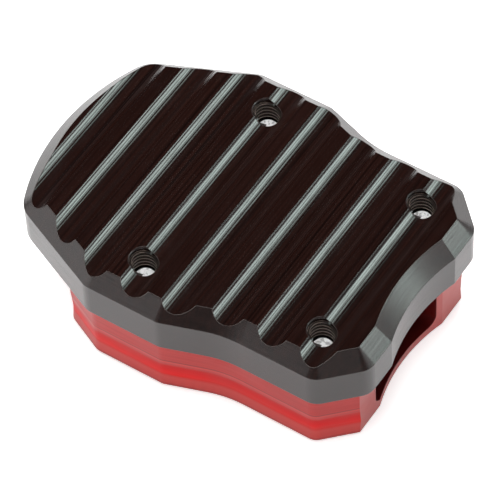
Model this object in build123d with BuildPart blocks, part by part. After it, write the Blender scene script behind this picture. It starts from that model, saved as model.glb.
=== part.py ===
from build123d import *
import os
from math import atan, degrees, sqrt

# Overall plan of the sole plate, in millimetres. Lengths along X run from the recess end to the nose.
sole_length = 88.0
sole_thickness = 12.0
neck_width = 57.0
body_width = 65.6
end_width = 40.6
nose_width = 46.2
neck_length = 29.6
flare_length = 12.8
body_length = 17.6
taper_length = 22.3
recess_width = 24.4
recess_depth = 1.9
waist_radius = 25.0
nose_corner_radius = 6.5
sole_corner_radius = 4.2
sole_chamfer = 3.5
sole_edge_break = 0.3

# Round-bottomed grooves across the ground face.
groove_count = 8
groove_pitch = 10.0
groove_start = 10.0
groove_radius = 4.0
groove_depth = 1.85

# Clamp plate, set in under the edge of the sole.
clamp_height = 16.0
clamp_overhang = 1.75
clamp_corner_overhang = 2.2
clamp_end_setback = 2.8
clamp_flare_setback = 1.25
clamp_length = 66.7
clamp_nose_width = 53.3
clamp_nose_bulge = 4.0
clamp_corner_radius = 3.0
clamp_edge_break = 0.5
wall_line_height = 8.9
wall_valley_height = 4.2
wall_relief = 0.3

# Pocket that takes the foot of the stand, open at the recess end.
pocket_width = 24.5
pocket_offset = 1.65
pocket_length = 53.0
pocket_floor = 2.5
pocket_corner_radius = 8.0
pocket_floor_radius = 2.5

# Countersunk hex-socket screws and the holes that they go through.
thread_diameter = 6.0
thread_clearance = 0.05
clamp_hole_clearance = 0.3
hole_mouth = 0.2
screw_length = 22.0
head_diameter = 12.0
head_rim = 0.4
head_sink = 0.3
socket_size = 4.0
socket_depth = 2.4
tip_chamfer = 0.9
screw_start = 12.0
screw_row_pitch = 40.0
neck_screw_span = 37.8
body_screw_span = 45.8

# Stations along X that both plates share.
recess_x = sole_length / 2
corner_cut = (neck_width - end_width) / 2
flare_x = recess_x - neck_length
body_x = flare_x - flare_length
taper_x = body_x - body_length
nose_x = taper_x - taper_length
ground_z = clamp_height + sole_thickness

# The four screw places, neck row first.
neck_row_x = recess_x - screw_start
body_row_x = neck_row_x - screw_row_pitch
screw_places = [
    (neck_row_x, neck_screw_span / 2),
    (neck_row_x, -neck_screw_span / 2),
    (body_row_x, body_screw_span / 2),
    (body_row_x, -body_screw_span / 2),
]

# Sole plate: profiled blank with a wide chamfer round the ground face.
with BuildPart() as sole_plate:
    with BuildSketch(Plane.XY.offset(clamp_height)) as sole_outline:
        with BuildLine() as sole_edge:
            Polyline(
                (recess_x, recess_width / 2),
                (recess_x, end_width / 2),
                (recess_x - corner_cut, neck_width / 2),
                (flare_x, neck_width / 2),
                (body_x, body_width / 2),
                (taper_x, body_width / 2),
                (nose_x, nose_width / 2),
            )
            mirror(about=Plane.XZ)
            ThreePointArc((nose_x, nose_width / 2), (-recess_x, 0), (nose_x, -nose_width / 2))
            ThreePointArc(
                (recess_x, recess_width / 2),
                (recess_x - recess_depth, 0),
                (recess_x, -recess_width / 2),
            )
        make_face()
        rounded_stations = [
            (flare_x, waist_radius),
            (nose_x, nose_corner_radius),
            (taper_x, sole_corner_radius),
            (body_x, sole_corner_radius),
            (recess_x - corner_cut, sole_corner_radius),
        ]
        for station, radius in rounded_stations:
            corners = sole_outline.vertices().filter_by_position(Axis.X, station - 0.1, station + 0.1)
            fillet(corners, radius)
        end_corners = sole_outline.vertices().group_by(Axis.X)[-1].sort_by(Axis.Y)
        fillet([end_corners[0], end_corners[-1]], sole_corner_radius)
    extrude(amount=sole_thickness)
    chamfer(sole_plate.faces().sort_by(Axis.Z)[-1].edges(), sole_chamfer)
    chamfer(sole_plate.faces().sort_by(Axis.Z)[0].edges(), sole_edge_break)

    # Grooves from side to side, each cut by one pass of a ball-nosed cutter.
    groove_middle_x = recess_x - groove_start - groove_pitch * (groove_count - 1) / 2
    with BuildSketch(Plane.XZ) as groove_section:
        with Locations((groove_middle_x, ground_z - groove_depth + groove_radius)):
            with GridLocations(groove_pitch, groove_pitch, groove_count, 1):
                Circle(groove_radius)
    extrude(amount=body_width, both=True, mode=Mode.SUBTRACT)

    # Tapped holes right through, with a small broken mouth on the ground side.
    with Locations(*[(x, y, ground_z) for x, y in screw_places]):
        CounterSinkHole(thread_diameter / 2, thread_diameter / 2 + hole_mouth, counter_sink_angle=90)

# Clamp plate: a blank drawn out past the recess end, with a shallow relief along its walls.
clamp_end_x = recess_x - clamp_end_setback
clamp_nose_x = clamp_end_x - clamp_length
clamp_neck = neck_width / 2 - clamp_overhang
clamp_body = body_width / 2 - clamp_overhang
clamp_end = end_width / 2 + clamp_end_setback - clamp_corner_overhang * sqrt(2)
clamp_cut = clamp_neck - clamp_end
clamp_waist_x = flare_x - clamp_flare_setback
run_out = clamp_end_setback + recess_depth
relief_height = wall_line_height - wall_valley_height

with BuildPart() as clamp_plate:
    with BuildSketch(Plane.XY.offset(wall_line_height)) as clamp_outline:
        with BuildLine() as clamp_edge:
            Polyline(
                (clamp_end_x + run_out, 0),
                (clamp_end_x + run_out, clamp_end - run_out),
                (clamp_end_x - clamp_cut, clamp_neck),
                (clamp_waist_x, clamp_neck),
                (body_x - clamp_flare_setback, clamp_body),
                (taper_x, clamp_body),
                (clamp_nose_x, clamp_nose_width / 2),
            )
            mirror(about=Plane.XZ)
            ThreePointArc(
                (clamp_nose_x, clamp_nose_width / 2),
                (clamp_nose_x - clamp_nose_bulge, 0),
                (clamp_nose_x, -clamp_nose_width / 2),
            )
        make_face()
        corners = clamp_outline.vertices()
        fillet(corners.filter_by_position(Axis.X, clamp_waist_x - 0.1, clamp_waist_x + 0.1), waist_radius)
        offset(amount=-clamp_corner_radius)
        offset(amount=clamp_corner_radius)
    extrude(amount=clamp_height - wall_line_height)

    # The wall leans in below the line and out again to the outer face.
    with BuildSketch(Plane.XY.offset(wall_line_height)) as upper_relief:
        add(clamp_outline.sketch_local)
    extrude(amount=relief_height, dir=(0, 0, -1), taper=degrees(atan(wall_relief / relief_height)))
    with BuildSketch(Plane.XY) as lower_relief:
        add(clamp_outline.sketch_local)
    extrude(amount=wall_valley_height, taper=degrees(atan(wall_relief / wall_valley_height)))

    # Pocket from the face that meets the sole, with rounded floor edges.
    with BuildSketch(Plane.XY.offset(clamp_height)) as pocket_outline:
        with Locations((clamp_end_x - pocket_length, -pocket_offset)):
            Rectangle(pocket_length + run_out, pocket_width, align=(Align.MIN, Align.CENTER))
        fillet(pocket_outline.vertices().group_by(Axis.X)[0], pocket_corner_radius)
    extrude(amount=pocket_floor - clamp_height, mode=Mode.SUBTRACT)
    floor_faces = clamp_plate.faces().filter_by_position(Axis.Z, pocket_floor - 0.1, pocket_floor + 0.1)
    floor_edges = floor_faces.sort_by(SortBy.AREA)[-1].edges().sort_by(Axis.X)
    fillet(floor_edges[:-1], pocket_floor_radius)

    # The recess end: two flats and a shallow arc, cut straight down.
    with BuildSketch(Plane.XY) as recess_end:
        with BuildLine() as recess_edge:
            Polyline(
                (clamp_end_x, recess_width / 2),
                (clamp_end_x, neck_width),
                (clamp_end_x + 2 * run_out, neck_width),
                (clamp_end_x + 2 * run_out, -neck_width),
                (clamp_end_x, -neck_width),
                (clamp_end_x, -recess_width / 2),
            )
            ThreePointArc(
                (clamp_end_x, -recess_width / 2),
                (clamp_end_x - recess_depth, 0),
                (clamp_end_x, recess_width / 2),
            )
        make_face()
    extrude(amount=clamp_height, mode=Mode.SUBTRACT)
    chamfer(clamp_plate.faces().sort_by(Axis.Z)[0].edges(), clamp_edge_break)

    # Countersunk clearance holes from the outer face.
    with Locations(*[Location((x, y, 0), (180, 0, 0)) for x, y in screw_places]):
        CounterSinkHole(
            thread_diameter / 2 + clamp_hole_clearance,
            head_diameter / 2 + head_rim + head_sink,
            counter_sink_angle=90,
        )

# Screws: countersunk head with a hex socket, shank through the clamp into the sole.
shank_radius = thread_diameter / 2 - thread_clearance
cone_z = head_sink + head_rim
cone_height = head_diameter / 2 - shank_radius
shank_z = cone_z + cone_height
upright = (Align.CENTER, Align.CENTER, Align.MIN)
with BuildPart() as clamp_screws:
    with Locations(*[(x, y, head_sink) for x, y in screw_places]):
        Cylinder(head_diameter / 2, head_rim, align=upright)
    with Locations(*[(x, y, cone_z) for x, y in screw_places]):
        Cone(head_diameter / 2, shank_radius, cone_height, align=upright)
    with Locations(*[(x, y, shank_z) for x, y in screw_places]):
        Cylinder(shank_radius, head_sink + screw_length - shank_z, align=upright)
    chamfer(clamp_screws.edges().group_by(Axis.Z)[-1], tip_chamfer)
    with BuildSketch(Plane.XY.offset(head_sink)) as socket_outline:
        with Locations(*screw_places):
            RegularPolygon(socket_size / 2, 6, major_radius=False)
    extrude(amount=socket_depth, mode=Mode.SUBTRACT)

os.makedirs("parts", exist_ok=True)
sole_plate.part.label = "sole_plate"
clamp_plate.part.label = "clamp_plate"
clamp_screws.part.label = "clamp_screws"
export_step(sole_plate.part, "parts/sole_plate.step")
export_step(clamp_plate.part, "parts/clamp_plate.step")
export_step(clamp_screws.part, "parts/clamp_screws.step")
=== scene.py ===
import bpy
import math
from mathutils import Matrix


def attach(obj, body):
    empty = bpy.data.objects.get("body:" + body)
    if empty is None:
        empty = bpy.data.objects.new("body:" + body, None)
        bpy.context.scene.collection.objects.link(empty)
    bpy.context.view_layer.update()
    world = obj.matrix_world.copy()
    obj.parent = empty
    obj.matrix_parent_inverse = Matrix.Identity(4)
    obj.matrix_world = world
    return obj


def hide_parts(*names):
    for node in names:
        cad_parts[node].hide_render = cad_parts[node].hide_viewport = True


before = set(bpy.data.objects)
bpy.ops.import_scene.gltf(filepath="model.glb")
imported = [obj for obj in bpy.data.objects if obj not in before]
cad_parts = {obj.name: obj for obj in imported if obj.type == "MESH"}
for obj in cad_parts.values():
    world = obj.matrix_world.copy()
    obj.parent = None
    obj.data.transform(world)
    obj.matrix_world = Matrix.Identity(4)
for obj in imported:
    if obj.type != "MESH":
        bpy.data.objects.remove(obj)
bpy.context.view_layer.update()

# Sole plate: one piece of milled aluminium plate, black anodised to a satin finish.
# A ball-nosed cutter has run its grooves from side to side in several passes, and an angle
# cutter its wide chamfer, so each face keeps fine tool lines under the dye.
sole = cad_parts["sole_plate"]
black_refraction = 1.7
sole_edge_radius = 0.00022
groove_end_x = -0.0397
groove_start_x = 0.0376
groove_low_z = 0.02
groove_lip_z = 0.02796
lip_soft = 0.00002
border_soft = 0.0001
level_facing = 0.5
across_facing = 0.15
facing_soft = 0.05
chamfer_facing_low = 0.62
chamfer_facing_high = 0.78
chamfer_facing_soft = 0.03
passes_per_metre = 1500.0
pass_shift = 0.8
cusp_height = 0.000025
land_streak_height = 0.000003
groove_streak_extra = 0.000015
chamfer_ring_height = 0.000018
hole_rows = [(0.032, 0.0189), (-0.008, 0.0229)]
hole_surround = 0.0034
hole_dye_kept = 0.6
brown_black = (0.0045, 0.0012, 0.0009, 1.0)
paler_black = (0.019, 0.0065, 0.0048, 1.0)
rubbed_black = (0.22, 0.205, 0.195, 1.0)
sole_rub_start = 0.995
sole_rub_full = 0.94
sole_most_rubbed = 0.5
sole_smoothest = 0.12
sole_roughest = 0.26
chamfer_roughness = 0.255

# A noise pattern lies mostly between these two values, and no part of a normal reaches the third.
noise_low = 0.3
noise_high = 0.7
past_facing = 2.0


def place_node(tree, kind, inputs=None, **settings):
    made = tree.nodes.new("ShaderNode" + kind)
    for name, value in settings.items():
        setattr(made, name, value)
    for socket, value in (inputs or {}).items():
        if isinstance(value, bpy.types.NodeSocket):
            tree.links.new(value, made.inputs[socket])
        else:
            made.inputs[socket].default_value = value
    return made


def start_finish(name, refraction):
    finish = bpy.data.materials.new(name)
    finish.use_nodes = True
    tree = finish.node_tree
    surface = tree.nodes["Principled BSDF"].inputs
    surface["IOR"].default_value = refraction
    coords = place_node(tree, "TexCoord").outputs["Object"]
    place = place_node(tree, "SeparateXYZ", {0: coords}).outputs
    return finish, tree, surface, coords, place


def reckon(tree, operation, first, second=0.0, third=0.0, clamp=False):
    inputs = {0: first, 1: second, 2: third}
    return place_node(tree, "Math", inputs, operation=operation, use_clamp=clamp).outputs[0]


def times(tree, first, second):
    return reckon(tree, "MULTIPLY", first, second)


def outside(tree, mask):
    return reckon(tree, "SUBTRACT", 1.0, mask)


def spread(tree, value, low, high, start=0.0, end=1.0, curve="LINEAR"):
    inputs = {0: value, 1: low, 2: high, 3: start, 4: end}
    return place_node(tree, "MapRange", inputs, interpolation_type=curve).outputs[0]


# The mask is 1 from low to high, with a soft border at both ends.
def within(tree, value, low, high, soft):
    rise = spread(tree, value, low - soft, low + soft, curve="SMOOTHSTEP")
    fall = spread(tree, value, high - soft, high + soft, curve="SMOOTHSTEP")
    return reckon(tree, "SUBTRACT", rise, fall, clamp=True)


# Noise is drawn out into lines along the axis that has the fewest of them per metre.
def tool_lines(tree, coords, per_metre, detail=3.0):
    stretch = place_node(tree, "Mapping", {"Vector": coords, "Scale": per_metre})
    lines = place_node(tree, "TexNoise", {"Vector": stretch.outputs[0], "Scale": 1.0, "Detail": detail})
    return lines.outputs["Fac"]


def two_tone(tree, lines, dark, light):
    made = place_node(tree, "ValToRGB", {0: lines})
    first, last = made.color_ramp.elements
    first.position = noise_low
    first.color = dark
    last.position = noise_high
    last.color = light
    return made.outputs[0]


def coat(tree, share, under, over):
    return place_node(tree, "Mix", {0: share, 6: under, 7: over}, data_type="RGBA").outputs[2]


def facing_of(tree):
    normal = place_node(tree, "NewGeometry").outputs["Normal"]
    return place_node(tree, "SeparateXYZ", {0: normal}).outputs


def broken_edge(tree, radius):
    return place_node(tree, "Bevel", {"Radius": radius}, samples=8).outputs[0]


# An edge is rubbed where its broken corner turns away from the face.
def rubbed_edge(tree, edge, normal_kind, start, full, most=1.0):
    normal = place_node(tree, "NewGeometry").outputs[normal_kind]
    turn = place_node(tree, "VectorMath", {0: edge, 1: normal}, operation="DOT_PRODUCT").outputs["Value"]
    return spread(tree, turn, start, full, 0.0, most)


def raise_surface(tree, surface, height, **normal):
    relief = place_node(tree, "Bump", {"Strength": 1.0, "Distance": 1.0, "Height": height, **normal})
    tree.links.new(relief.outputs[0], surface["Normal"])


black, tree, surface, coords, place = start_finish("black_anodised_milled", black_refraction)
facing = facing_of(tree)
edge = broken_edge(tree, sole_edge_radius)

# Faces are told apart by their place and by where they point.
level = within(tree, facing["Z"], level_facing, past_facing, facing_soft)
across_y = within(tree, facing["Y"], -across_facing, across_facing, facing_soft)
along = within(tree, place["X"], groove_end_x, groove_start_x, border_soft)
sunk = within(tree, place["Z"], groove_low_z, groove_lip_z, lip_soft)
in_groove = times(tree, times(tree, level, across_y), times(tree, along, sunk))
sloping = within(tree, facing["Z"], chamfer_facing_low, chamfer_facing_high, chamfer_facing_soft)
on_chamfer = times(tree, sloping, outside(tree, in_groove))

# Lengthwise streaks on the lands and grooves, hollows with cusps between them from the passes
# of the cutter in each groove, and lines round the chamfer.
streaks = tool_lines(tree, coords, (2400.0, 12.0, 900.0))
rings = tool_lines(tree, coords, (150.0, 150.0, 3400.0))
passes = reckon(tree, "MULTIPLY_ADD", place["X"], passes_per_metre, pass_shift)
from_pass = reckon(tree, "SUBTRACT", reckon(tree, "FRACT", passes), 0.5)
cusps = times(tree, times(tree, from_pass, from_pass), 4 * cusp_height)
streak_height = reckon(tree, "MULTIPLY_ADD", in_groove, groove_streak_extra, land_streak_height)
height = times(tree, level, times(tree, streaks, streak_height))
height = reckon(tree, "MULTIPLY_ADD", in_groove, cusps, height)
ring_height = times(tree, rings, chamfer_ring_height)
height = reckon(tree, "MULTIPLY_ADD", on_chamfer, ring_height, height)
raise_surface(tree, surface, height, Normal=edge)

# The dye is a brown black, paler along the streaks. It is rubbed off the edges,
# but not off the groove lips, and less round the holes.
dye = two_tone(tree, streaks, brown_black, paler_black)
worn = rubbed_edge(tree, edge, "Normal", sole_rub_start, sole_rub_full, sole_most_rubbed)
edge_y = place_node(tree, "SeparateXYZ", {0: edge}).outputs["Y"]
unworn = times(tree, within(tree, edge_y, -across_facing, across_facing, facing_soft), along)
off_axis = reckon(tree, "ABSOLUTE", place["Y"])
for row_x, row_y in hole_rows:
    beside = within(tree, place["X"], row_x - hole_surround, row_x + hole_surround, border_soft)
    abreast = within(tree, off_axis, row_y - hole_surround, row_y + hole_surround, border_soft)
    round_hole = times(tree, times(tree, beside, abreast), hole_dye_kept)
    unworn = reckon(tree, "MAXIMUM", unworn, round_hole)
worn = times(tree, worn, outside(tree, unworn))
tree.links.new(coat(tree, worn, dye, rubbed_black), surface["Base Color"])
satin = spread(tree, rings, noise_low, noise_high, sole_smoothest, sole_roughest)
satin = reckon(tree, "MAXIMUM", satin, times(tree, on_chamfer, chamfer_roughness))
tree.links.new(satin, surface["Roughness"])
sole.data.materials.clear()
sole.data.materials.append(black)

# Tapped holes of the sole: the ridge of an M6 thread, cut by a tap in the milled plate.
# It winds up each hole from just above the screw's end to the broken mouth and the groove.
thread_root = 0.00301
thread_crest = 0.00252
thread_pitch = 0.001
root_half_width = 0.00041
crest_half_width = 0.0001
hole_thread_z = 0.02245
hole_thread_turns = 6
steps_per_turn = 40
weld_distance = 0.000001
groove_pitch = 0.01
groove_shift = 1.1
groove_from_hole = 0.002
groove_axis_z = 0.03015
groove_cutter_radius = 0.00404
groove_cutter_length = 0.02
mouth_low_radius = 0.0005
mouth_high_radius = 0.0055
mouth_height = 0.0025
mouth_middle_z = 0.027815
crumb_height = 0.0004
hole_thread_crease = 40
thread_edge_radius = 0.00011
thread_rub_start = 0.975
thread_rub_full = 0.9
dark_reach = 0.0045
bright_reach = 0.0049
dark_thread = (0.006, 0.003, 0.002, 1.0)
paler_thread = (0.016, 0.009, 0.007, 1.0)
rubbed_thread = (0.72, 0.56, 0.48, 1.0)
thread_smoothest = 0.29
thread_roughest = 0.42
hole_places = [(row_x, side * row_y) for row_x, row_y in hole_rows for side in (1, -1)]


def wind_ridge(name, inner, outer, inner_half, outer_half, start, turns):
    middle = (inner + outer) / 2
    bpy.ops.object.select_all(action="DESELECT")
    bpy.ops.mesh.primitive_plane_add(size=1.0, location=(middle, 0, start), rotation=(math.pi / 2, 0, 0))
    ridge = bpy.context.object
    ridge.name = name
    ridge.scale = (outer - inner, 2 * outer_half, 1.0)
    bpy.ops.object.transform_apply(location=True, rotation=True, scale=True)
    for corner in ridge.data.vertices:
        corner.select = corner.co.x < middle
    bpy.ops.object.mode_set(mode="EDIT")
    bpy.ops.mesh.select_mode(type="VERT")
    bpy.ops.transform.resize(value=(1.0, 1.0, inner_half / outer_half), center_override=(inner, 0, start))
    bpy.ops.object.mode_set(mode="OBJECT")
    winding = ridge.modifiers.new("winding", "SCREW")
    winding.axis = "Z"
    winding.screw_offset = thread_pitch
    winding.iterations = turns
    winding.steps = steps_per_turn
    winding.render_steps = steps_per_turn
    winding.use_smooth_shade = False
    bpy.ops.object.modifier_apply(modifier="winding")
    bpy.ops.object.mode_set(mode="EDIT")
    bpy.ops.mesh.select_all(action="SELECT")
    bpy.ops.mesh.remove_doubles(threshold=weld_distance)
    bpy.ops.mesh.select_all(action="DESELECT")
    bpy.ops.mesh.select_non_manifold(extend=False)
    bpy.ops.mesh.fill_holes(sides=0)
    bpy.ops.mesh.select_all(action="SELECT")
    bpy.ops.mesh.normals_make_consistent(inside=False)
    bpy.ops.object.mode_set(mode="OBJECT")
    return ridge


def take_up(piece):
    bpy.ops.object.select_all(action="DESELECT")
    piece.select_set(True)
    bpy.context.view_layer.objects.active = piece


def cut_away(piece, cutter):
    take_up(piece)
    cut = piece.modifiers.new("cut", "BOOLEAN")
    cut.operation = "DIFFERENCE"
    cut.solver = "EXACT"
    cut.object = cutter
    bpy.ops.object.modifier_apply(modifier="cut")
    bpy.data.objects.remove(cutter, do_unlink=True)


def copy_to_hole(pattern, name, x, y, crease, finish):
    take_up(pattern)
    bpy.ops.object.duplicate(linked=False)
    piece = bpy.context.object
    piece.name = name
    piece.location = (x, y, 0)
    bpy.ops.object.transform_apply(location=True, rotation=True, scale=True)
    bpy.ops.object.shade_smooth_by_angle(angle=math.radians(crease))
    piece.data.materials.clear()
    piece.data.materials.append(finish)
    return piece


# The groove beside the hole and the broken mouth take the ridge away where they pass.
ridge = wind_ridge(
    "hole_thread",
    thread_crest,
    thread_root,
    crest_half_width,
    root_half_width,
    hole_thread_z,
    hole_thread_turns,
)
bpy.ops.object.select_all(action="DESELECT")
bpy.ops.mesh.primitive_cylinder_add(
    vertices=256,
    radius=groove_cutter_radius,
    depth=groove_cutter_length,
    location=(groove_from_hole, 0, groove_axis_z),
    rotation=(math.pi / 2, 0, 0),
)
cut_away(ridge, bpy.context.object)
bpy.ops.object.select_all(action="DESELECT")
bpy.ops.mesh.primitive_cone_add(
    vertices=96,
    radius1=mouth_low_radius,
    radius2=mouth_high_radius,
    depth=mouth_height,
    location=(0, 0, mouth_middle_z),
)
cut_away(ridge, bpy.context.object)

# The cuts leave crumbs at the broken mouth, which are cleared away.
bpy.ops.object.mode_set(mode="EDIT")
bpy.ops.mesh.select_all(action="SELECT")
bpy.ops.mesh.separate(type="LOOSE")
bpy.ops.object.mode_set(mode="OBJECT")
ridge_parts = sorted(bpy.context.selected_objects, key=lambda part: part.dimensions.z)
ridge = ridge_parts[-1]
for part in ridge_parts:
    if part.dimensions.z < crumb_height:
        bpy.data.objects.remove(part, do_unlink=True)
bpy.context.view_layer.objects.active = ridge
bpy.ops.object.join()

# The dye reached the thread too. Its crests are rubbed bright, but not where they run out into the groove.
thread_finish, tree, surface, coords, place = start_finish("tapped_thread", black_refraction)
chatter = tool_lines(tree, coords, (900.0, 900.0, 5000.0))
dye = two_tone(tree, chatter, dark_thread, paler_thread)
edge = broken_edge(tree, thread_edge_radius)
worn = rubbed_edge(tree, edge, "True Normal", thread_rub_start, thread_rub_full)
beside_axis = reckon(tree, "FRACT", reckon(tree, "MULTIPLY_ADD", place["X"], 1 / groove_pitch, groove_shift))
beside_axis = reckon(tree, "MULTIPLY_ADD", beside_axis, groove_pitch, -groove_pitch / 2)
below_axis = reckon(tree, "SUBTRACT", place["Z"], groove_axis_z)
reach = reckon(tree, "MULTIPLY_ADD", beside_axis, beside_axis, times(tree, below_axis, below_axis))
deep = spread(tree, reckon(tree, "SQRT", reach), dark_reach, bright_reach)
tree.links.new(coat(tree, times(tree, worn, deep), dye, rubbed_thread), surface["Base Color"])
satin = spread(tree, chatter, noise_low, noise_high, thread_smoothest, thread_roughest)
tree.links.new(satin, surface["Roughness"])
for number, (x, y) in enumerate(hole_places):
    thread = copy_to_hole(ridge, "hole_thread_%d" % (number + 1), x, y, hole_thread_crease, thread_finish)
    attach(thread, "root")
bpy.data.objects.remove(ridge, do_unlink=True)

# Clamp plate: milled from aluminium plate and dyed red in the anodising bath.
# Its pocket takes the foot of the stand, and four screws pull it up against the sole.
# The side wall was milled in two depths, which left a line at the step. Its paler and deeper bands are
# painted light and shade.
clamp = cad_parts["clamp_plate"]
red_refraction = 1.5
clamp_edge_radius = 0.0002
wall_facing = 0.4
end_facing = 0.9
end_facing_soft = 0.03
pocket_end_facing = 0.8
pocket_near_y = -0.0145
pocket_far_y = 0.0112
pocket_end_x = -0.013
pocket_mouth_x = 0.0411
pocket_mouth_soft = 0.00003
pocket_low_z = 0.0008
pocket_high_z = 0.03
pocket_soft = 0.0002
end_low_x = 0.03
end_high_x = 0.06
end_soft = 0.001
below_foot_z = -0.001
foot_shade_z = 0.0009
band_low_z = 0.0036
band_high_z = 0.0075
band_soft = 0.0006
lean_low_z = 0.0033
lean_high_z = 0.0077
lean_out = 0.0006
wall_ring_height = 0.00001
# Patches of painted shade on the deeper band.
full_patch_noise = 0.65
least_band_shade = 0.55
most_band_shade = 1.1
band_shade_metal = 0.5
dyed_metal = 0.08
# Dark lines painted at the step: witness marks with painted shade.
lower_line_low_z = 0.0079
lower_line_high_z = 0.00805
upper_line_low_z = 0.00882
upper_line_high_z = 0.00902
line_soft = 0.00006
lower_line_share = 0.5
line_share = 0.6
# Shares of the painted shade round the foot and in the pocket.
foot_shade_share = 0.45
pocket_shade_share = 0.8
step_low_z = 0.0078
step_high_z = 0.0088
step_soft = 0.0003
# Shares of the painted light at the foot and the step.
pale_foot_share = 0.9
pale_step_share = 0.6
deepest_cut_z = 0.0045
red_dye = (0.48, 0.013, 0.011, 1.0)
paler_red = (0.545, 0.024, 0.02, 1.0)
upper_cut_red = (0.5, 0.006, 0.006, 1.0)
lower_cut_red = (0.69, 0.008, 0.008, 1.0)
step_red = (0.62, 0.042, 0.034, 1.0)
# Painted reflection of the white table on the end flats.
end_flat_painted_reflection = (0.55, 0.075, 0.066, 1.0)
# Colour of the painted shade.
painted_shade_red = (0.05, 0.002, 0.002, 1.0)
clamp_smoothest = 0.29
clamp_roughest = 0.4

red, tree, surface, coords, place = start_finish("red_anodised_milled", red_refraction)
facing = facing_of(tree)
edge = broken_edge(tree, clamp_edge_radius)

# The outer walls are told from the flats at the recess end and from the pocket.
upright = within(tree, facing["Z"], -wall_facing, wall_facing, facing_soft)
not_flat = within(tree, facing["X"], -past_facing, end_facing, end_facing_soft)
in_pocket_y = within(tree, place["Y"], pocket_near_y, pocket_far_y, pocket_soft)
in_pocket_x = within(tree, place["X"], pocket_end_x, pocket_mouth_x, pocket_mouth_soft)
in_pocket_z = within(tree, place["Z"], pocket_low_z, pocket_high_z, pocket_soft)
in_pocket = times(tree, times(tree, in_pocket_y, in_pocket_x), in_pocket_z)
to_end = within(tree, facing["X"], pocket_end_facing, past_facing, facing_soft)
end_face = times(tree, to_end, within(tree, place["X"], end_low_x, end_high_x, end_soft))
in_pocket = times(tree, in_pocket, outside(tree, end_face))
outer_wall = times(tree, times(tree, upright, not_flat), outside(tree, in_pocket))

# The deeper band carries painted shade in patches, with a more metallic red sheen, and leans out towards the
# foot.
# Fine tool lines run round the whole wall.
rings = tool_lines(tree, coords, (40.0, 40.0, 1500.0), 2.0)
clouds = tool_lines(tree, coords, (160.0, 160.0, 260.0))
band_patches = tool_lines(tree, coords, (110.0, 110.0, 380.0))
patchy = spread(tree, band_patches, noise_low, full_patch_noise, least_band_shade, most_band_shade)
in_band = within(tree, place["Z"], band_low_z, band_high_z, band_soft)
painted_band_shade = reckon(tree, "MULTIPLY", times(tree, in_band, outer_wall), patchy, clamp=True)
tree.links.new(reckon(tree, "MULTIPLY_ADD", painted_band_shade, band_shade_metal, dyed_metal), surface["Metallic"])
lean = spread(tree, place["Z"], lean_low_z, lean_high_z, lean_out, 0.0, "SMOOTHSTEP")
ring_height = times(tree, rings, wall_ring_height)
height = times(tree, outer_wall, reckon(tree, "ADD", lean, ring_height))
raise_surface(tree, surface, height, Normal=edge)

# Dark lines at the step between the two depths are painted as its witness marks and the shade under its
# edge, and painted shade lies round the foot and in the pocket.
upper_line = within(tree, place["Z"], upper_line_low_z, upper_line_high_z, line_soft)
lower_line = within(tree, place["Z"], lower_line_low_z, lower_line_high_z, line_soft)
step_lines = reckon(tree, "ADD", upper_line, times(tree, lower_line, lower_line_share))
# Painted shade round the foot, where the wall meets the table.
foot_shade = times(tree, within(tree, place["Z"], below_foot_z, foot_shade_z, band_soft), foot_shade_share)
step_marks_and_foot_shade = reckon(tree, "ADD", times(tree, step_lines, line_share), foot_shade, clamp=True)
# Painted shade in the pocket.
pocket_shade = times(tree, in_pocket, pocket_shade_share)
shade = reckon(tree, "MAXIMUM", times(tree, step_marks_and_foot_shade, outer_wall), pocket_shade)

# The red is painted deepest on the band, as painted shade that grows lighter from the step down, and paler
# at the step and the foot, as painted light; the end flats are paler, a painted reflection of the white
# table.
dye = two_tone(tree, rings, red_dye, paler_red)
# Painted shade on the band: a darker red under the step, lighter towards the foot.
cut_red = coat(tree, spread(tree, place["Z"], step_low_z, deepest_cut_z), upper_cut_red, lower_cut_red)
dye_with_painted_light = coat(tree, painted_band_shade, dye, cut_red)
# Painted light round the foot and at the step.
pale_foot = times(tree, within(tree, place["Z"], below_foot_z, band_low_z, band_soft), outer_wall)
pale_step = times(tree, within(tree, place["Z"], step_low_z, step_high_z, step_soft), outer_wall)
pale = reckon(tree, "MULTIPLY_ADD", pale_foot, pale_foot_share, times(tree, pale_step, pale_step_share))
dye_with_painted_light = coat(tree, pale, dye_with_painted_light, step_red)
# The end flats are painted paler as a reflection of the white table.
flat = within(tree, facing["X"], end_facing, past_facing, end_facing_soft)
dye_with_painted_light = coat(tree, reckon(tree, "SUBTRACT", flat, in_pocket, clamp=True), dye_with_painted_light, end_flat_painted_reflection)
tree.links.new(coat(tree, shade, dye_with_painted_light, painted_shade_red), surface["Base Color"])
satin = spread(tree, clouds, noise_low, noise_high, clamp_smoothest, clamp_roughest)
tree.links.new(satin, surface["Roughness"])
clamp.data.materials.clear()
clamp.data.materials.append(red)

# Clamp screws: countersunk hex-socket screws of stainless steel, put in from the clamp side.
# The thread is rolled, which leaves a cupped end, and the ends stand below the grooves in the
# tapped holes of the sole.
screw_head_z = 0.0003
screw_end_z = 0.0223
head_face_radius = 0.00585
head_radius = 0.006
shank_radius = 0.00295
core_radius = 0.00246
socket_width = 0.004
socket_depth = 0.0024
socket_cone_height = 0.0008
socket_cone_end = 0.2
socket_cutter_height = 0.005
rolled_root = 0.00242
rolled_crest_half_width = 0.00007
rolled_thread_z = 0.0066
rolled_thread_turns = 14
screw_crease = 35
steel_refraction = 1.5
end_cut_z = 0.0217
past_end_z = 0.03
end_cut_soft = 0.0002
bright_metal = 0.9
end_metal_loss = 0.75
end_roughness = 0.28
steel_smoothest = 0.18
steel_roughest = 0.265
grain_height = 0.00002
scar_height = 0.00022
scar_border = 0.5
scar_middle = 0.38
scar_share = 0.6
steel_grey = (0.88, 0.88, 0.87, 1.0)
steel_white = (0.98, 0.98, 0.98, 1.0)
scar_grey = (0.12, 0.12, 0.12, 1.0)

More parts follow.
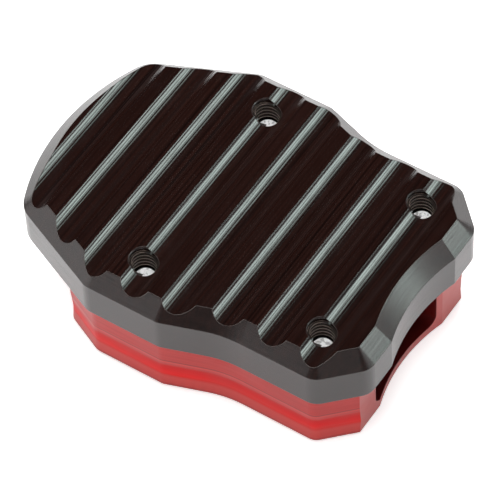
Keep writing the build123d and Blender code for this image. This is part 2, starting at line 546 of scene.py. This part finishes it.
# The steel is bright, and the cut ends are rougher and less bright, with dull scars.
steel, tree, surface, coords, place = start_finish("stainless_bright", steel_refraction)
end_cut = within(tree, place["Z"], end_cut_z, past_end_z, end_cut_soft)
grain = tool_lines(tree, coords, (2600.0, 2600.0, 2600.0))
scars = tool_lines(tree, coords, (1500.0, 1500.0, 1500.0), 2.0)
dulled = times(tree, spread(tree, scars, scar_border, scar_middle, 0.0, scar_share), end_cut)
tint = two_tone(tree, grain, steel_grey, steel_white)
tree.links.new(coat(tree, dulled, tint, scar_grey), surface["Base Color"])
tree.links.new(reckon(tree, "MULTIPLY_ADD", end_cut, -end_metal_loss, bright_metal), surface["Metallic"])
polish = spread(tree, grain, noise_low, noise_high, steel_smoothest, steel_roughest)
tree.links.new(reckon(tree, "MULTIPLY_ADD", end_cut, end_roughness, polish), surface["Roughness"])
sheared = times(tree, scars, end_cut)
height = reckon(tree, "MULTIPLY_ADD", sheared, scar_height, times(tree, grain, grain_height))
raise_surface(tree, surface, height)

# The blank starts as the head's face and is drawn out ring by ring: rim, countersink, shank,
# core of the thread, chamfered end and cup.
rings_up = [
    (head_radius, 0.00045),
    (head_radius, 0.0007),
    (shank_radius, 0.00375),
    (shank_radius, 0.0056),
    (core_radius, 0.006),
    (core_radius, 0.0216),
    (0.00208, screw_end_z),
    (0.00198, screw_end_z),
    (0.0014, 0.02208),
    (0.0012, 0.02203),
    (0.0004, 0.02199),
]
bpy.ops.object.select_all(action="DESELECT")
bpy.ops.mesh.primitive_circle_add(
    vertices=64, radius=head_face_radius, fill_type="NGON", location=(0, 0, screw_head_z)
)
blank = bpy.context.object
blank.name = "screw"
bpy.ops.object.transform_apply(location=True, rotation=True, scale=True)
bpy.ops.object.mode_set(mode="EDIT")
bpy.ops.mesh.select_all(action="SELECT")
ring_radius = head_face_radius
ring_z = screw_head_z
for next_radius, next_z in rings_up:
    bpy.ops.mesh.extrude_region_move(TRANSFORM_OT_translate={"value": (0, 0, next_z - ring_z)})
    change = next_radius / ring_radius
    bpy.ops.transform.resize(value=(change, change, 1.0), center_override=(0, 0, next_z))
    ring_radius = next_radius
    ring_z = next_z
bpy.ops.mesh.select_all(action="SELECT")
bpy.ops.mesh.normals_make_consistent(inside=False)
bpy.ops.object.mode_set(mode="OBJECT")

# The hexagon socket is pressed into the head, with a drilled cone at its bottom.
socket_bottom_z = screw_head_z + socket_depth
socket_point = (0, 0, socket_bottom_z + socket_cone_height)
bpy.ops.object.select_all(action="DESELECT")
bpy.ops.mesh.primitive_cylinder_add(
    vertices=6,
    radius=socket_width / math.sqrt(3),
    depth=socket_cutter_height,
    location=(0, 0, socket_bottom_z - socket_cutter_height / 2),
)
socket = bpy.context.object
bpy.ops.object.transform_apply(location=True, rotation=True, scale=True)
bpy.ops.object.mode_set(mode="EDIT")
bpy.ops.mesh.select_all(action="DESELECT")
bpy.ops.object.mode_set(mode="OBJECT")
for face in socket.data.polygons:
    face.select = face.normal.z > 0.9
bpy.ops.object.mode_set(mode="EDIT")
bpy.ops.mesh.extrude_region_move(TRANSFORM_OT_translate={"value": (0, 0, socket_cone_height)})
bpy.ops.transform.resize(value=(socket_cone_end, socket_cone_end, 1.0), center_override=socket_point)
bpy.ops.object.mode_set(mode="OBJECT")
cut_away(blank, socket)

# The rolled thread runs from the plain shank to the chamfered end.
rolled = wind_ridge(
    "screw_thread",
    rolled_root,
    shank_radius,
    root_half_width,
    rolled_crest_half_width,
    rolled_thread_z,
    rolled_thread_turns,
)
take_up(blank)
rolled.select_set(True)
bpy.ops.object.join()
for number, (x, y) in enumerate(hole_places):
    screw = copy_to_hole(blank, "clamp_screw_%d" % (number + 1), x, y, screw_crease, steel)
    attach(screw, "root")
    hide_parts("clamp_screws")
bpy.data.objects.remove(blank, do_unlink=True)

# Studio floor: a plain white table, wide enough to fill every view.
# To the camera and in reflections it is brighter than the lamps make it.
floor_size = 6.0
floor_z = -0.0002
floor_white = (0.92, 0.92, 0.92, 1.0)
glow_white = (1.0, 1.0, 1.0, 1.0)
glow_to_camera = 0.6
glow_in_reflections = 0.28
bpy.ops.object.select_all(action="DESELECT")
bpy.ops.mesh.primitive_plane_add(size=floor_size, location=(0, 0, floor_z))
floor = bpy.context.object
floor.name = "studio_floor"
white = bpy.data.materials.new("table_white")
white.use_nodes = True
tree = white.node_tree
tree.nodes.clear()
path = place_node(tree, "LightPath").outputs
to_camera = times(tree, path["Is Camera Ray"], glow_to_camera)
seen = reckon(tree, "MULTIPLY_ADD", path["Is Glossy Ray"], glow_in_reflections, to_camera)
matt = place_node(tree, "BsdfDiffuse", {"Color": floor_white}).outputs[0]
glow = place_node(tree, "Emission", {"Color": glow_white, "Strength": seen}).outputs[0]
table_top = place_node(tree, "AddShader", {0: matt, 1: glow}).outputs[0]
place_node(tree, "OutputMaterial", {"Surface": table_top})
floor.data.materials.append(white)

# Studio light: a pale room that is dark higher up, apart from a glow straight overhead, and
# dimmer at the back left and to the right. Soft boxes stand round the table. Four of them only
# show mirrored in the metal, four only light it, and a small card does both.
level_grey = 0.64
greys_up = [(0.31, 0.45), (0.5, 0.21), (0.6, 0.065), (0.8, 0.04), (0.9, 0.04), (0.96, 0.5)]
back_left_x = -0.8
back_left_y = 0.6
back_left_share = 0.25
right_share = 0.6
pale_green = (0.82, 1.0, 0.94)
world = bpy.data.worlds.new("studio_room")
bpy.context.scene.world = world
world.use_nodes = True
tree = world.node_tree
tree.nodes.clear()
way = place_node(tree, "SeparateXYZ", {0: place_node(tree, "TexCoord").outputs["Generated"]}).outputs
ramp = place_node(tree, "ValToRGB", {0: way["Z"]})
steps = ramp.color_ramp.elements
steps.remove(steps[1])
steps[0].color = (level_grey, level_grey, level_grey, 1.0)
for rise, grey in greys_up:
    steps.new(rise).color = (grey, grey, grey, 1.0)
to_left = times(tree, way["X"], back_left_x)
to_back_left = reckon(tree, "MULTIPLY_ADD", way["Y"], back_left_y, to_left)
back_left_dim = spread(tree, to_back_left, 0.2, 0.7, 1.0, back_left_share)
right_dim = spread(tree, way["X"], 0.3, 0.8, 1.0, right_share)
dim = times(tree, back_left_dim, right_dim)
room = place_node(tree, "Background", {"Color": ramp.outputs[0], "Strength": dim})
place_node(tree, "OutputWorld", {"Surface": room.outputs[0]})


def soft_box(name, location, width, height, watts, colour=(1.0, 1.0, 1.0), mirrored=True, lighting=True):
    lamp = bpy.data.lights.new(name, "AREA")
    lamp.shape = "RECTANGLE"
    lamp.size = width
    lamp.size_y = height
    lamp.energy = watts
    lamp.color = colour
    box = bpy.data.objects.new(name, lamp)
    bpy.context.collection.objects.link(box)
    box.location = location
    box.rotation_mode = "QUATERNION"
    box.rotation_quaternion = box.location.to_track_quat("Z", "Y")
    box.visible_camera = False
    box.visible_glossy = mirrored
    box.visible_diffuse = lighting


soft_box("right_box", (1.081, 0.786, 0.681), 0.42, 0.45, 3.6, pale_green, lighting=False)
soft_box("right_wash", (1.424, 0.822, 0.732), 2.25, 0.57, 3.7, lighting=False)
soft_box("upper_right_box", (0.776, 0.776, 1.023), 0.32, 0.37, 1.1, pale_green, lighting=False)
soft_box("left_box", (-0.87, -0.73, 0.391), 1.36, 0.56, 2.4, lighting=False)
soft_box("front_card", (0.755, -0.59, 0.722), 0.42, 0.42, 0.19)
soft_box("top_box", (0.05, -0.075, 0.8), 0.45, 0.45, 4.7, mirrored=False)
soft_box("key_box", (-0.729, 0.34, 0.675), 0.5, 0.5, 5.4, mirrored=False)
soft_box("back_box", (-0.294, 0.808, 0.602), 0.5, 0.5, 3.8, mirrored=False)
soft_box("front_box", (0.1, -0.68, 0.16), 0.4, 0.24, 0.5, mirrored=False)

# Camera: a long lens from above the front right corner.
lens = bpy.data.cameras.new("photo_camera")
lens.lens = 251.855
lens.sensor_width = 36.0
lens.clip_start = 0.01
lens.clip_end = 50.0
camera = bpy.data.objects.new("photo_camera", lens)
bpy.context.collection.objects.link(camera)
camera.location = (0.258314, -0.360297, 0.586116)
camera.rotation_euler = (0.655882, 0.032468, 0.576112)
bpy.context.scene.camera = camera
bpy.context.scene.view_settings.view_transform = "Standard"
